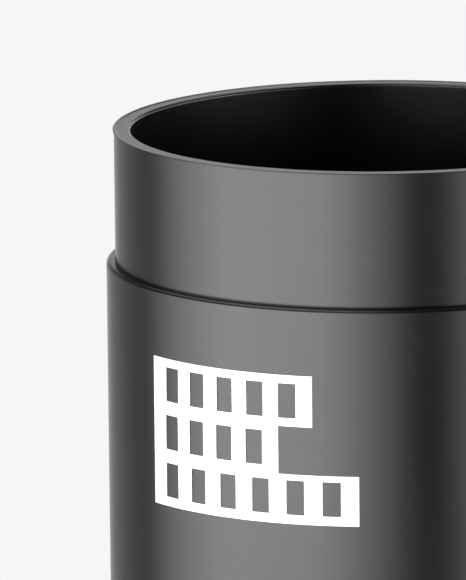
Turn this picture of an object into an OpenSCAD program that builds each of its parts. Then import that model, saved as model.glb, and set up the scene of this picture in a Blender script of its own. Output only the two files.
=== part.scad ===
// Rigid double-wall slip-cap tube for a wet shaving kit, standing open on its
// base with its cap set down beside it. Millimetres, +Z up along the tube's
// axis, origin at the centre of the base, on the surface the tube stands on.
// The label faces -Y and the cap stands towards +X.

/* [Body] */
// Outside diameter of the body and of the cap
body_d = 60; // [52:1:70]
// Height of the tube from the surface to the rim
tube_h = 150; // [90:5:190]
// Thickness of the outer sleeve
sleeve_wall = 0.95; // [0.95:0.05:1.4]
// Height of the sleeve's bottom edge above the surface
sleeve_lift = 0.5; // [0.3:0.1:0.8]
// Radius of the sleeve's rounded shoulder
shoulder_round = 0.7; // [0.4:0.05:0.9]
// Radius of the sleeve's rounded foot edge
foot_round = 0.6; // [0.3:0.1:0.7]

/* [Neck] */
// Length of the neck from the shoulder to the rim
neck_h = 14.5; // [10:0.5:20]
// Thickness of the neck's wall
neck_wall = 1.84; // [1.4:0.02:2.4]
// How far the fine lip round the rim stands proud of the neck
lip_out = 0.12; // [0.08:0.01:0.18]
// Height of the fine lip, measured down from the rim
lip_h = 0.14; // [0.12:0.01:0.4]
// Size of the rounded edge at the mouth of the bore
mouth_round = 0.32; // [0.1:0.02:0.5]

/* [Floor and base] */
// Thickness of the inner cup's floor
floor_t = 2.0; // [1.5:0.1:3]
// Thickness of the soft disc on the cup's floor
floor_pad_t = 1.5; // [1:0.1:3]
// Thickness of the base plug
plug_t = 2.1; // [1.8:0.1:3]
// Diameter of the non-slip foot pad
foot_pad_d = 51; // [40:1:52]

/* [Label] */
// Height of the label's bottom edge above the surface
label_z = 112.05; // [20:0.05:112.05]
// Height of the bottom, middle and top rows of the label
label_rows = [5.4, 5.2, 5.55];
// Angle from the front (-Y) to the label's left edge
label_left = 24.3; // [10:0.1:40]
// Angle from the front to the right edge of the bottom, middle and top rows
label_right = [25.3, 8.45, 15.75];
// Thickness of the label film
label_t = 0.1; // [0.06:0.02:0.2]

/* [Cap] */
// Distance from the tube's axis to the axis of the cap that is set down
cap_x = 78; // [72:1:120]
// Thickness of the cap's skirt
skirt_wall = 0.75; // [0.6:0.05:0.75]
// Thickness of the cap's top
cap_top = 1.8; // [1.2:0.1:3]
// Radius of the rounded edge of the cap's top
cap_round = 1.1; // [0.6:0.1:1.2]
// Gap left between the skirt and the shoulder when the cap is on
cap_gap = 0.25; // [0.1:0.05:0.5]
// Thickness of the foam seal ring
seal_t = 1.25; // [1:0.05:2]
// Depth of the cap's inner plug below its top panel
cap_plug_h = 8; // [5:0.5:10]

/* [Hidden] */
$fn = 128;
body_r = body_d / 2;
sleeve_in = body_r - sleeve_wall;       // inside radius of the sleeve
neck_r = sleeve_in - 0.02;              // outside radius of the neck
bore_r = neck_r - neck_wall;            // inside radius of the cup
face_z = tube_h - 0.06;                 // flat face of the rim, inside the lip
cup_r = neck_r - 0.5;                   // the cup's wall inside the sleeve
shoulder_z = tube_h - neck_h;           // top of the sleeve
plug_z = sleeve_lift + 0.4;             // underside of the base plug
cup_z = plug_z + plug_t;                // underside of the inner cup
floor_z = cup_z + floor_t;              // top of the cup's floor
pad_z = plug_z + 1.0;                   // top of the foot pad, in its recess
seal_z = neck_h - cap_gap;              // seal's underside, from the skirt's edge
panel_z = seal_z + seal_t;              // underside of the cap's top panel
cap_h = panel_z + cap_top;
skirt_in = body_r - skirt_wall;
cap_plug_r = bore_r - 0.34;
charcoal = [0.17, 0.17, 0.18];

// A quarter disc in the first quadrant, for rounded edges
module quarter(r) {
    intersection() {
        circle(r = r);
        square(r + 1);
    }
}

// An upright wall between two radii, with its outer edges rounded
module wall_profile(r1, r2, z1, z2, top_r, bottom_r) {
    difference() {
        translate([r1, z1]) square([r2 - r1, z2 - z1]);
        translate([r2 - top_r, z2 - top_r]) difference() {
            square(top_r + 1);
            quarter(top_r);
        }
        translate([r2 - bottom_r, z1 + bottom_r]) mirror([0, 1]) difference() {
            square(bottom_r + 1);
            quarter(bottom_r);
        }
    }
}

// A locating ridge round the cup that centres the sleeve on it
function ridge(z) = [[cup_r, z], [sleeve_in - 0.01, z + 1.5], [cup_r, z + 3]];

module outer_sleeve() {
    color(charcoal) rotate_extrude()
        wall_profile(sleeve_in, body_r, sleeve_lift, shoulder_z, shoulder_round, foot_round);
}

module inner_cup() {
    color(charcoal) rotate_extrude() polygon(concat(
        [[0, cup_z], [cup_r - 0.6, cup_z], [cup_r, cup_z + 0.6]],
        ridge(10), ridge(shoulder_z / 2), ridge(shoulder_z - 8),
        [[cup_r, shoulder_z - 0.05], [neck_r, shoulder_z - 0.05],
         [neck_r, tube_h - lip_h],
         [neck_r + lip_out - 0.01, tube_h - lip_h + 0.03],
         [neck_r + lip_out, tube_h - 0.06],
         [neck_r + lip_out - 0.06, tube_h],
         [neck_r - 0.17, tube_h],
         [neck_r - 0.27, face_z],
         [bore_r + mouth_round, face_z],
         [bore_r + 0.3 * mouth_round, face_z - 0.3 * mouth_round],
         [bore_r, face_z - mouth_round],
         [bore_r, floor_z + 0.8],
         [bore_r - 0.23, floor_z + 0.23],
         [bore_r - 0.8, floor_z],
         [0, floor_z]]));
}

module base_plug() {
    color([0.13, 0.13, 0.14]) difference() {
        rotate_extrude() polygon([[0, plug_z], [neck_r - 0.45, plug_z], [neck_r - 0.15, plug_z + 0.3],
            [neck_r, cup_z - 0.3], [neck_r - 0.3, cup_z], [0, cup_z]]);
        translate([0, 0, plug_z - 1]) cylinder(d = foot_pad_d + 0.2, h = pad_z - plug_z + 1);
    }
}

module foot_pad() {
    color([0.10, 0.10, 0.10]) rotate_extrude()
        polygon([[0, 0], [foot_pad_d / 2 - 0.3, 0], [foot_pad_d / 2, 0.3], [foot_pad_d / 2, pad_z], [0, pad_z]]);
}

module floor_pad() {
    color([0.12, 0.12, 0.12]) rotate_extrude()
        polygon([[0, floor_z], [bore_r - 0.9, floor_z], [bore_r - 0.3, floor_z + 0.6],
            [bore_r - 0.3, floor_z + floor_pad_t - 0.2], [bore_r - 0.5, floor_z + floor_pad_t], [0, floor_z + floor_pad_t]]);
}

// One row of the label: a curved strip against the sleeve
module label_row(z, h, left, right) {
    rotate([0, 0, -90 - left]) rotate_extrude(angle = left + right)
        translate([body_r, z]) square([label_t, h]);
}

module front_label() {
    color([0.97, 0.97, 0.97]) for (i = [0:2])
        label_row(label_z + (i > 0 ? label_rows[0] : 0) + (i > 1 ? label_rows[1] : 0),
                  label_rows[i], label_left, label_right[i]);
}

module cap_shell() {
    color(charcoal) translate([cap_x, 0, 0]) rotate_extrude() difference() {
        wall_profile(0, body_r, 0, cap_h, cap_round, 0.25);
        polygon([[-1, -1], [skirt_in + 1.2, -1], [skirt_in + 0.2, 0], [skirt_in, 0.2],
            [skirt_in, panel_z], [-1, panel_z]]);
    }
}

module cap_plug() {
    z0 = panel_z - cap_plug_h;
    color([0.13, 0.13, 0.14]) translate([cap_x, 0, 0]) rotate_extrude() polygon([
        [0, panel_z], [cap_plug_r, panel_z], [cap_plug_r, z0 + 3.2],
        [cap_plug_r + 0.24, z0 + 2.7], [cap_plug_r + 0.24, z0 + 2.1], [cap_plug_r, z0 + 1.6],
        [cap_plug_r, z0 + 0.8], [cap_plug_r - 0.4, z0], [cap_plug_r - 1.25, z0],
        [cap_plug_r - 1.25, panel_z - 1.9], [cap_plug_r - 1.65, panel_z - 1.5], [0, panel_z - 1.5]]);
}

module cap_seal() {
    color([0.75, 0.75, 0.76]) translate([cap_x, 0, 0]) rotate_extrude()
        translate([cap_plug_r + 0.05, seal_z]) square([skirt_in - 0.1 - cap_plug_r - 0.05, seal_t]);
}

outer_sleeve();
inner_cup();
base_plug();
foot_pad();
floor_pad();
front_label();
cap_shell();
cap_plug();
cap_seal();
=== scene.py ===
import math

import bmesh
import bpy
from mathutils import Matrix, Vector


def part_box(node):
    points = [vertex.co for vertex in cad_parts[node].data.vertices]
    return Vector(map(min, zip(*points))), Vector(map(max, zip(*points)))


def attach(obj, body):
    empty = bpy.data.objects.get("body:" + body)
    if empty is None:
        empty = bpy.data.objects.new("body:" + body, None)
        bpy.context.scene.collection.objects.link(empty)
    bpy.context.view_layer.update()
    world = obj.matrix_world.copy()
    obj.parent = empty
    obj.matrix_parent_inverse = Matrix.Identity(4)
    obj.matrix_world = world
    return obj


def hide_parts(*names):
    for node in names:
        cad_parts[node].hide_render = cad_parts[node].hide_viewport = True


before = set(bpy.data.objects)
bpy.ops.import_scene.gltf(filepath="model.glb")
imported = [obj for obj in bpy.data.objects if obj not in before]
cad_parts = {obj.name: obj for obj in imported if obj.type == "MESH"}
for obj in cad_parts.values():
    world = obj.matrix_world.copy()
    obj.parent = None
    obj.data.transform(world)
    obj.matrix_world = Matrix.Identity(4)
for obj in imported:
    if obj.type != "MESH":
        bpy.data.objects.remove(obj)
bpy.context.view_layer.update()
scene = bpy.context.scene
scene.view_settings.view_transform = "Standard"
scene.view_settings.look = "None"

MM = 0.001
CAM_AZ = 30.0          # the camera's bearing, from the front (-Y) towards +X


# ------------------------------------------------------------------ sizes
# Everything is measured from the CAD nodes, in millimetres.
def size_of(node):
    lo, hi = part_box(node)
    return [v / MM for v in lo], [v / MM for v in hi]


s_lo, s_hi = size_of("outer_sleeve")
c_lo, c_hi = size_of("inner_cup")
p_lo, p_hi = size_of("base_plug")
f_lo, f_hi = size_of("foot_pad")
fp_lo, fp_hi = size_of("floor_pad")
l_lo, l_hi = size_of("front_label")
k_lo, k_hi = size_of("cap_shell")
kp_lo, kp_hi = size_of("cap_plug")
ks_lo, ks_hi = size_of("cap_seal")

R = s_hi[2] * 0 + (s_hi[0] - s_lo[0]) / 2       # body radius, 30
RIM_Z = c_hi[2]                                 # 150
SHOULDER_Z = s_hi[2]                            # 135.5
LIP_R = (c_hi[0] - c_lo[0]) / 2                 # 29.15
NECK_R = LIP_R - 0.12
BORE_R = NECK_R - 1.84
FLOOR_Z = fp_lo[2]
PLUG_Z = p_lo[2]
CUP_Z = c_lo[2]
PAD_R = (f_hi[0] - f_lo[0]) / 2
CAP_X = (k_lo[0] + k_hi[0]) / 2
CAP_H = k_hi[2]
PANEL_Z = kp_hi[2]
SEAL_Z = ks_lo[2]


# ------------------------------------------------------------------ nodes
def new_material(name):
    m = bpy.data.materials.new(name)
    m.use_nodes = True
    nt = m.node_tree
    nt.nodes.clear()
    out = nt.nodes.new("ShaderNodeOutputMaterial")
    bsdf = nt.nodes.new("ShaderNodeBsdfPrincipled")
    nt.links.new(bsdf.outputs[0], out.inputs[0])
    return m, nt, bsdf


def noise(nt, coord, scale, detail=2.0, rough=0.5, stretch=None):
    n = nt.nodes.new("ShaderNodeTexNoise")
    n.inputs["Scale"].default_value = scale
    n.inputs["Detail"].default_value = detail
    n.inputs["Roughness"].default_value = rough
    if stretch:
        mp = nt.nodes.new("ShaderNodeMapping")
        mp.inputs["Scale"].default_value = stretch
        nt.links.new(coord, mp.inputs["Vector"])
        coord = mp.outputs[0]
    nt.links.new(coord, n.inputs["Vector"])
    return n.outputs["Fac"]


def ramp(nt, fac, stops, mode="LINEAR"):
    r = nt.nodes.new("ShaderNodeValToRGB")
    r.color_ramp.interpolation = mode
    els = r.color_ramp.elements
    while len(els) > 1:
        els.remove(els[-1])
    for i, (pos, val) in enumerate(stops):
        e = els[0] if i == 0 else els.new(pos)
        e.position = pos
        v = val if isinstance(val, (tuple, list)) else (val, val, val)
        e.color = (*v, 1.0)
    nt.links.new(fac, r.inputs["Fac"])
    return r.outputs["Color"]


def math_node(nt, op, a, b=None, c=None):
    n = nt.nodes.new("ShaderNodeMath")
    n.operation = op
    for i, v in enumerate((a, b, c)):
        if v is None:
            continue
        if isinstance(v, (int, float)):
            n.inputs[i].default_value = v
        else:
            nt.links.new(v, n.inputs[i])
    return n.outputs[0]


def map_range(nt, v, a, b, c, d):
    n = nt.nodes.new("ShaderNodeMapRange")
    for i, x in enumerate((a, b, c, d)):
        n.inputs[i + 1].default_value = x
    nt.links.new(v, n.inputs[0])
    return n.outputs[0]


def bump(nt, bsdf, height, distance, strength, prev=None):
    b = nt.nodes.new("ShaderNodeBump")
    b.inputs["Strength"].default_value = strength
    b.inputs["Distance"].default_value = distance
    nt.links.new(height, b.inputs["Height"])
    if prev is not None:
        nt.links.new(prev, b.inputs["Normal"])
    if bsdf is not None:
        nt.links.new(b.outputs[0], bsdf.inputs["Normal"])
    return b.outputs[0]


def obj_coord(nt):
    return nt.nodes.new("ShaderNodeTexCoord").outputs["Object"]


# ------------------------------------------------------------------ materials
def soft_touch(name, base=0.0015, rough=0.26, grain=0.04):
    """Charcoal soft-touch coating: near-black, broad soft gloss, a grain finer than the eye resolves."""
    m, nt, b = new_material(name)
    co = obj_coord(nt)
    broad = noise(nt, co, 38.0, 3.0, 0.55)
    col = ramp(nt, broad, [(0.30, (base * 0.93, base * 0.93, base * 0.96)), (0.72, (base * 1.07, base * 1.07, base * 1.10))])
    nt.links.new(col, b.inputs["Base Color"])
    mid = noise(nt, co, 420.0, 2.0, 0.5)
    r = math_node(nt, "ADD", map_range(nt, broad, 0.3, 0.7, rough - 0.012, rough + 0.012),
                  map_range(nt, mid, 0.3, 0.7, -0.008, 0.008))
    nt.links.new(r, b.inputs["Roughness"])
    b.inputs["IOR"].default_value = 1.50
    b.inputs["Specular IOR Level"].default_value = 0.5
    fine = noise(nt, co, 5200.0, 2.0, 0.6)
    bump(nt, b, fine, 0.00002, grain)
    return m


def insert_plastic(name):
    m, nt, b = new_material(name)
    co = obj_coord(nt)
    broad = noise(nt, co, 60.0, 3.0, 0.5)
    nt.links.new(ramp(nt, broad, [(0.3, 0.010), (0.7, 0.014)]), b.inputs["Base Color"])
    nt.links.new(map_range(nt, broad, 0.3, 0.7, 0.30, 0.36), b.inputs["Roughness"])
    b.inputs["IOR"].default_value = 1.5
    fine = noise(nt, co, 2500.0, 2.0, 0.6)
    bump(nt, b, fine, 0.00003, 0.12)
    return m


def label_film(name):
    m, nt, b = new_material(name)
    co = obj_coord(nt)
    broad = noise(nt, co, 90.0, 3.0, 0.5)
    nt.links.new(ramp(nt, broad, [(0.3, (0.900, 0.900, 0.902)), (0.7, (0.925, 0.925, 0.925))]), b.inputs["Base Color"])
    nt.links.new(map_range(nt, broad, 0.3, 0.7, 0.44, 0.50), b.inputs["Roughness"])
    b.inputs["IOR"].default_value = 1.46
    fine = noise(nt, co, 3800.0, 2.0, 0.6)
    bump(nt, b, fine, 0.00002, 0.10)
    return m


def foam(name, col_a, col_b, cell=1500.0, depth=0.00012):
    m, nt, b = new_material(name)
    co = obj_coord(nt)
    v = nt.nodes.new("ShaderNodeTexVoronoi")
    v.inputs["Scale"].default_value = cell
    nt.links.new(co, v.inputs["Vector"])
    n = noise(nt, co, 300.0, 3.0, 0.6)
    nt.links.new(ramp(nt, n, [(0.3, col_a), (0.7, col_b)]), b.inputs["Base Color"])
    nt.links.new(map_range(nt, n, 0.3, 0.7, 0.82, 0.92), b.inputs["Roughness"])
    b.inputs["IOR"].default_value = 1.45
    first = bump(nt, None, v.outputs["Distance"], depth, 0.55)
    bump(nt, b, noise(nt, co, 3000.0, 2.0, 0.6), 0.00005, 0.35, first)
    return m


def rubber(name):
    m, nt, b = new_material(name)
    co = obj_coord(nt)
    n = noise(nt, co, 260.0, 4.0, 0.6)
    nt.links.new(ramp(nt, n, [(0.3, 0.012), (0.7, 0.020)]), b.inputs["Base Color"])
    nt.links.new(map_range(nt, n, 0.3, 0.7, 0.62, 0.74), b.inputs["Roughness"])
    bump(nt, b, noise(nt, co, 1800.0, 2.0, 0.6), 0.00006, 0.4)
    return m


MAT_SHELL = soft_touch("soft_touch_charcoal")
MAT_CUP = soft_touch("soft_touch_charcoal_cup")
MAT_CAP = soft_touch("soft_touch_charcoal_cap")
MAT_PLUG = insert_plastic("satin_black_insert")
MAT_LABEL = label_film("matte_white_film")
MAT_FLOORPAD = foam("black_foam_pad", (0.010, 0.010, 0.011), (0.018, 0.018, 0.019))
MAT_SEAL = foam("pale_foam_seal", (0.42, 0.42, 0.43), (0.52, 0.52, 0.53), 2200.0, 0.00008)
MAT_RUBBER = rubber("black_foot_rubber")


# ------------------------------------------------------------------ meshes
def rounded(points, radii, step=7.0):
    """Rounds a polygon's corners: points are (r, z) in millimetres, radii one per corner. Long straight
    stretches get a support point near each end, so that the smooth normals stay true on them."""
    n = len(points)
    arcs = []
    for i in range(n):
        p = Vector(points[i])
        a = Vector(points[i - 1])
        b = Vector(points[(i + 1) % n])
        r = radii[i]
        u, v = (a - p), (b - p)
        lu, lv = u.length, v.length
        u.normalize(), v.normalize()
        ang = u.angle(v)
        if r <= 0 or ang > math.pi - 1e-3:
            arcs.append([p])
            continue
        t = min(r / math.tan(ang / 2), lu * 0.49, lv * 0.49)
        rr = t * math.tan(ang / 2)
        s, e = p + u * t, p + v * t
        bis = (u + v).normalized()
        centre = p + bis * (rr / math.sin(ang / 2))
        turn = math.pi - ang
        k = max(2, int(math.ceil(math.degrees(turn) / step)))
        a0 = s - centre
        sign = 1.0 if a0.x * (e - centre).y - a0.y * (e - centre).x > 0 else -1.0
        arc = []
        for j in range(k + 1):
            th = sign * turn * j / k
            c, q = math.cos(th), math.sin(th)
            arc.append(centre + Vector((a0.x * c - a0.y * q, a0.x * q + a0.y * c)))
        arcs.append(arc)
    out = []
    for i in range(n):
        out += arcs[i]
        s, e = arcs[i][-1], arcs[(i + 1) % n][0]
        d = e - s
        if d.length > 0.5 and abs(s.x) + abs(e.x) > 1e-6:
            w = min(0.12, d.length * 0.2)
            out += [s + d * (w / d.length), e - d * (w / d.length)]
    clean = []
    for q in out:
        if not clean or (q - clean[-1]).length > 1e-5:
            clean.append(q)
    if (clean[0] - clean[-1]).length < 1e-5:
        clean.pop()
    return clean


def lathe(name, points, radii, material, body, node, cx=0.0, segments=288, step=7.0):
    """A closed solid of revolution about the axis through (cx, 0), from a rounded (r, z) outline."""
    prof = rounded(points, radii, step)
    bm = bmesh.new()
    rings = []
    for q in prof:
        if abs(q.x) < 1e-6:
            rings.append([bm.verts.new((cx * MM, 0, q.y * MM))])
        else:
            rings.append([bm.verts.new(((cx + q.x * math.cos(2 * math.pi * j / segments)) * MM,
                                        q.x * math.sin(2 * math.pi * j / segments) * MM, q.y * MM))
                          for j in range(segments)])
    n = len(rings)
    for i in range(n):
        a, b = rings[i], rings[(i + 1) % n]
        if len(a) == 1 and len(b) == 1:
            continue
        for j in range(segments):
            k = (j + 1) % segments
            if len(a) == 1:
                bm.faces.new((a[0], b[k], b[j]))
            elif len(b) == 1:
                bm.faces.new((a[j], a[k], b[0]))
            else:
                bm.faces.new((a[j], a[k], b[k], b[j]))
    bmesh.ops.recalc_face_normals(bm, faces=bm.faces)
    return finish_mesh(name, bm, material, body, node)


def finish_mesh(name, bm, material, body, node):
    me = bpy.data.meshes.new(name)
    bm.to_mesh(me)
    bm.free()
    for p in me.polygons:
        p.use_smooth = True
    o = bpy.data.objects.new(name, me)
    scene.collection.objects.link(o)
    me.materials.append(material)
    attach(o, body)
    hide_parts(node)
    return o


# the outer sleeve: rounded shoulder above, rounded foot below
S_IN = R - 0.95
lathe("sleeve_shell",
      [(S_IN, s_lo[2]), (R, s_lo[2]), (R, SHOULDER_Z), (S_IN, SHOULDER_Z)],
      [0.12, 0.60, 0.70, 0.02],
      MAT_SHELL, "tube", "outer_sleeve")

# the inner cup: neck, fine lip, flat rim with a rounded mouth, bore and floor
CUP_R = NECK_R - 0.5
lathe("inner_cup_body",
      [(0, CUP_Z), (CUP_R, CUP_Z), (CUP_R, SHOULDER_Z - 2.0), (NECK_R, SHOULDER_Z - 1.4),
       (NECK_R, RIM_Z - 0.14), (LIP_R, RIM_Z - 0.11), (LIP_R, RIM_Z), (NECK_R - 0.17, RIM_Z),
       (NECK_R - 0.27, RIM_Z - 0.06), (BORE_R, RIM_Z - 0.06), (BORE_R, FLOOR_Z), (0, FLOOR_Z)],
      [0, 0.6, 0, 0, 0.02, 0.03, 0.06, 0.03, 0.03, 0.32, 0.8, 0],
      MAT_CUP, "tube", "inner_cup")

# the base plug with the recess for the foot pad
lathe("base_plug_disc",
      [(0, PLUG_Z + 1.0), (PAD_R + 0.1, PLUG_Z + 1.0), (PAD_R + 0.1, PLUG_Z),
       (NECK_R - 0.15, PLUG_Z), (NECK_R, CUP_Z), (0, CUP_Z)],
      [0, 0.15, 0.15, 0.30, 0.25, 0],
      MAT_PLUG, "tube", "base_plug")

# the foot pad, with shallow concentric grip grooves in its underside
pts, rad = [(0, 0)], [0]
for g in (6.0, 10.0, 14.0, 18.0, 22.0):
    pts += [(g - 0.35, 0), (g - 0.2, 0.25), (g + 0.2, 0.25), (g + 0.35, 0)]
    rad += [0.08, 0.08, 0.08, 0.08]
pts += [(PAD_R, 0), (PAD_R, PLUG_Z + 1.0), (0, PLUG_Z + 1.0)]
rad += [0.30, 0.1, 0]
lathe("foot_pad_disc", pts, rad, MAT_RUBBER, "tube", "foot_pad", segments=192, step=20.0)

# the soft disc on the floor of the bore
FP_R = (fp_hi[0] - fp_lo[0]) / 2
lathe("floor_pad_disc",
      [(0, FLOOR_Z), (FP_R - 0.6, FLOOR_Z), (FP_R, FLOOR_Z + 0.6), (FP_R, fp_hi[2]), (0, fp_hi[2])],
      [0, 0.1, 0.2, 0.35, 0],
      MAT_FLOORPAD, "tube", "floor_pad")

# the cap: rounded top edge, straight skirt
SKIRT_IN = R - 0.75
lathe("cap_shell_body",
      [(0, CAP_H), (0, PANEL_Z), (SKIRT_IN, PANEL_Z), (SKIRT_IN, 0), (R, 0), (R, CAP_H)],
      [0, 0, 0.3, 0.22, 0.25, 1.10],
      MAT_CAP, "cap", "cap_shell", cx=CAP_X)

# the cap's plug, with its sealing ridge, and the foam seal ring
KP = (kp_hi[0] - kp_lo[0]) / 2 - 0.24
KZ = kp_lo[2]
lathe("cap_plug_body",
      [(0, PANEL_Z), (KP, PANEL_Z), (KP, KZ + 3.2), (KP + 0.24, KZ + 2.6), (KP + 0.24, KZ + 2.2),
       (KP, KZ + 1.6), (KP, KZ), (KP - 1.25, KZ), (KP - 1.25, PANEL_Z - 1.5), (0, PANEL_Z - 1.5)],
      [0, 0, 0.1, 0.15, 0.15, 0.1, 0.35, 0.25, 0.4, 0],
      MAT_PLUG, "cap", "cap_plug", cx=CAP_X, segments=192)
KS = (ks_hi[0] - ks_lo[0]) / 2
lathe("cap_seal_ring",
      [(KP + 0.05, SEAL_Z), (KS, SEAL_Z), (KS, PANEL_Z), (KP + 0.05, PANEL_Z)],
      [0.25, 0.25, 0.05, 0.05],
      MAT_SEAL, "cap", "cap_seal", cx=CAP_X, segments=192)


# ------------------------------------------------------------------ label
# Three stepped rows of film on the sleeve, with plain blocks cut out of them.
LABEL_T = 0.1
LZ = [112.05, 117.45, 122.65, 128.20]
ROWS = [(LZ[0], LZ[1], 25.3), (LZ[1], LZ[2], 8.45), (LZ[2], LZ[3], 15.75)]   # z low, z high, right edge
LEFT = -24.3


def blocks(z0, z1, first, last, count):
    """Evenly spaced cut-outs in one row: (left, right, low, high), angles in degrees from the front."""
    w = math.degrees(2.0 / R)
    step = (last - first - w) / (count - 1)
    return [(first + i * step, first + i * step + w, z0, z1) for i in range(count)]


HOLES = (blocks(113.05, 116.80, -20.4, 21.6, 6)
         + blocks(118.30, 122.05, -20.4, 4.9, 4)
         + blocks(123.55, 127.30, -20.2, 12.3, 5))


def make_label():
    zs = sorted({z for r in ROWS for z in r[:2]} | {z for h in HOLES for z in h[2:]})
    brk = sorted({LEFT} | {r[2] for r in ROWS} | {a for h in HOLES for a in h[:2]})
    angs = []
    for a, b in zip(brk, brk[1:]):
        k = max(1, int(math.ceil((b - a) / 0.75)))
        angs += [a + (b - a) * j / k for j in range(k)]
    angs.append(brk[-1])

    def filled(i, j):
        if not (0 <= i < len(angs) - 1 and 0 <= j < len(zs) - 1):
            return False
        a, z = (angs[i] + angs[i + 1]) / 2, (zs[j] + zs[j + 1]) / 2
        if not any(lo < z < hi and LEFT < a < right for lo, hi, right in ROWS):
            return False
        return not any(h[0] < a < h[1] and h[2] < z < h[3] for h in HOLES)

    bm = bmesh.new()
    verts = {}

    def v(i, j, out):
        key = (i, j, out)
        if key not in verts:
            r = R + (LABEL_T if out else 0.004)
            t = math.radians(-90 + angs[i])
            verts[key] = bm.verts.new((r * math.cos(t) * MM, r * math.sin(t) * MM, zs[j] * MM))
        return verts[key]

    sharp = []
    for i in range(len(angs) - 1):
        for j in range(len(zs) - 1):
            if not filled(i, j):
                continue
            bm.faces.new((v(i, j, 1), v(i + 1, j, 1), v(i + 1, j + 1, 1), v(i, j + 1, 1)))
            bm.faces.new((v(i, j, 0), v(i, j + 1, 0), v(i + 1, j + 1, 0), v(i + 1, j, 0)))
            for (di, dj), (p, q) in (((0, -1), ((i, j), (i + 1, j))), ((1, 0), ((i + 1, j), (i + 1, j + 1))),
                                     ((0, 1), ((i + 1, j + 1), (i, j + 1))), ((-1, 0), ((i, j + 1), (i, j)))):
                if not filled(i + di, j + dj):
                    f = bm.faces.new((v(*p, 1), v(*p, 0), v(*q, 0), v(*q, 1)))
                    sharp += list(f.edges)
    bmesh.ops.recalc_face_normals(bm, faces=bm.faces)
    for e in sharp:
        e.smooth = False
    return finish_mesh("label_film", bm, MAT_LABEL, "tube", "front_label")


make_label()


# ------------------------------------------------------------------ stage
def make_floor():
    bm = bmesh.new()
    rad = [0.0, 0.1, 0.2, 0.3, 0.42, 0.6]
    rings = []
    for r in rad:
        rings.append([bm.verts.new((0.039, 0, 0))] if r == 0 else
                     [bm.verts.new((0.039 + r * math.cos(2 * math.pi * j / 96), r * math.sin(2 * math.pi * j / 96), 0))
                      for j in range(96)])
    for a, b in zip(rings, rings[1:]):
        for j in range(96):
            k = (j + 1) % 96
            bm.faces.new((a[0], b[j], b[k]) if len(a) == 1 else (a[j], b[j], b[k], a[k]))
    me = bpy.data.meshes.new("floor")
    bm.to_mesh(me)
    bm.free()
    o = bpy.data.objects.new("floor", me)
    scene.collection.objects.link(o)
    m = bpy.data.materials.new("pale_floor")
    m.use_nodes = True
    nt = m.node_tree
    nt.nodes.clear()
    out = nt.nodes.new("ShaderNodeOutputMaterial")
    dif = nt.nodes.new("ShaderNodeBsdfDiffuse")
    dif.inputs["Color"].default_value = (0.80, 0.80, 0.806, 1)
    tra = nt.nodes.new("ShaderNodeBsdfTransparent")
    mix = nt.nodes.new("ShaderNodeMixShader")
    co = nt.nodes.new("ShaderNodeTexCoord").outputs["Object"]
    ln = nt.nodes.new("ShaderNodeVectorMath")
    ln.operation = "DISTANCE"
    nt.links.new(co, ln.inputs[0])
    ln.inputs[1].default_value = (0.039, 0, 0)
    fac = map_range(nt, ln.outputs["Value"], 0.20, 0.42, 0.0, 1.0)
    nt.nodes[-1].interpolation_type = "SMOOTHSTEP"
    nt.links.new(fac, mix.inputs[0])
    nt.links.new(dif.outputs[0], mix.inputs[1])
    nt.links.new(tra.outputs[0], mix.inputs[2])
    nt.links.new(mix.outputs[0], out.inputs[0])
    me.materials.append(m)
    return o


make_floor()

# ------------------------------------------------------------------ light
# A dark studio with broad soft boxes, and a pale backdrop that only the camera sees.
world = bpy.data.worlds.new("studio")
scene.world = world
world.use_nodes = True
nt = world.node_tree
nt.nodes.clear()
out = nt.nodes.new("ShaderNodeOutputWorld")
bg_cam = nt.nodes.new("ShaderNodeBackground")
bg_cam.inputs["Color"].default_value = (0.9216, 0.9216, 0.9387, 1)
bg_cam.inputs["Strength"].default_value = 1.0
bg_lit = nt.nodes.new("ShaderNodeBackground")
mixw = nt.nodes.new("ShaderNodeMixShader")
lp = nt.nodes.new("ShaderNodeLightPath")
nt.links.new(lp.outputs["Is Camera Ray"], mixw.inputs[0])
nt.links.new(bg_lit.outputs[0], mixw.inputs[1])
nt.links.new(bg_cam.outputs[0], mixw.inputs[2])
nt.links.new(mixw.outputs[0], out.inputs[0])
sep = nt.nodes.new("ShaderNodeSeparateXYZ")
nt.links.new(nt.nodes.new("ShaderNodeTexCoord").outputs["Generated"], sep.inputs[0])
ang = math_node(nt, "ARCTAN2", sep.outputs["Y"], sep.outputs["X"])
psi = math_node(nt, "WRAP", math_node(nt, "ADD", ang, math.radians(90 - CAM_AZ)), math.pi, -math.pi)
u = map_range(nt, psi, -math.pi, math.pi, 0.0, 1.0)


def az(d):
    return (d + 180.0) / 360.0


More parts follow.
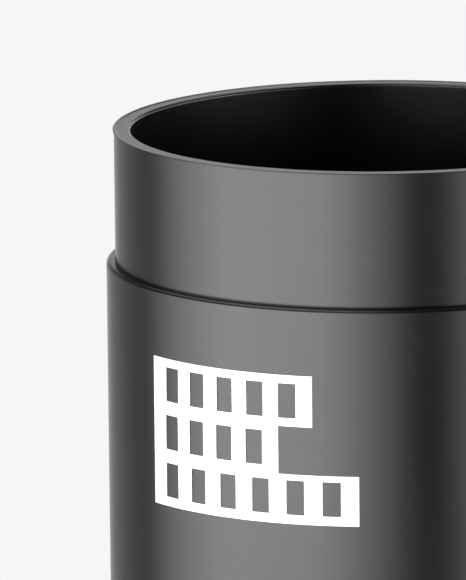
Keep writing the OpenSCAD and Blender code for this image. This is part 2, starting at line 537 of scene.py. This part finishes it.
# Plain soft boxes, each with a strength, its soft-edged spread in azimuth (0 faces the camera,
# minus is to its left) and in elevation, in degrees: front left, right, a weak fill behind, overhead.
SIDE = [(-65, 0), (-35, 1), (8, 1), (20, 0)]
BOXES = [
    (6.1, [(-114, 0), (-68, 1), (-25, 1), (15, 0)], SIDE),
    (6.9, [(25, 0), (68, 1), (86, 1), (128, 0)], SIDE),
    (1.5, [(-180, 1), (-160, 0.35), (-60, 0), (85, 0), (128, 1), (180, 1)], [(-65, 0), (-35, 1), (0, 1), (25, 0)]),
    (3.2, [(-180, 1), (-10, 0.8), (5, 0), (90, 0), (115, 1), (180, 1)], [(30, 0), (65, 1), (90, 0)]),
]
height = map_range(nt, math_node(nt, "ARCSINE", sep.outputs["Z"]), -math.pi / 2, math.pi / 2, 0.0, 1.0)
total = None
for strength, spread, rise in BOXES:
    across = ramp(nt, u, [(az(d), share) for d, share in spread])
    tall = ramp(nt, height, [((d + 90.0) / 180.0, share) for d, share in rise])
    box = math_node(nt, "MULTIPLY", math_node(nt, "MULTIPLY", across, tall), strength)
    total = box if total is None else math_node(nt, "ADD", total, box)
nt.links.new(total, bg_lit.inputs["Color"])
bg_lit.inputs["Strength"].default_value = 1.0
world.cycles.sampling_method = "MANUAL"
world.cycles.sample_map_resolution = 1024

# ------------------------------------------------------------------ camera
# Worked out from the rim's and the shoulder's ellipses and the sides' convergence.
EL, DIST, FPX = 10.11346, 0.88254638, 8096.29142
YAW, PITCH, ROLL = -1.06782, 11.26956, -0.57995
e, y, p, r = (math.radians(v) for v in (EL, YAW, PITCH, ROLL))
turn = Matrix.Rotation(math.radians(CAM_AZ), 3, "Z")
loc = turn @ Vector((0, -DIST * math.cos(e), DIST * math.sin(e))) + Vector((0, 0, RIM_Z * MM))
fwd = Vector((math.sin(y) * math.cos(p), math.cos(y) * math.cos(p), -math.sin(p)))
right = Vector((math.cos(y), -math.sin(y), 0))
up = right.cross(fwd)
r2 = right * math.cos(r) + up * math.sin(r)
u2 = up * math.cos(r) - right * math.sin(r)
rot = turn @ Matrix((r2, u2, -fwd)).transposed()
cam_data = bpy.data.cameras.new("camera")
cam = bpy.data.objects.new("camera", cam_data)
scene.collection.objects.link(cam)
cam.matrix_world = Matrix.Translation(loc) @ rot.to_4x4()
cam_data.sensor_width = 36.0
cam_data.lens = FPX / 580.0 * 36.0
cam_data.clip_start, cam_data.clip_end = 0.01, 50.0
scene.camera = cam
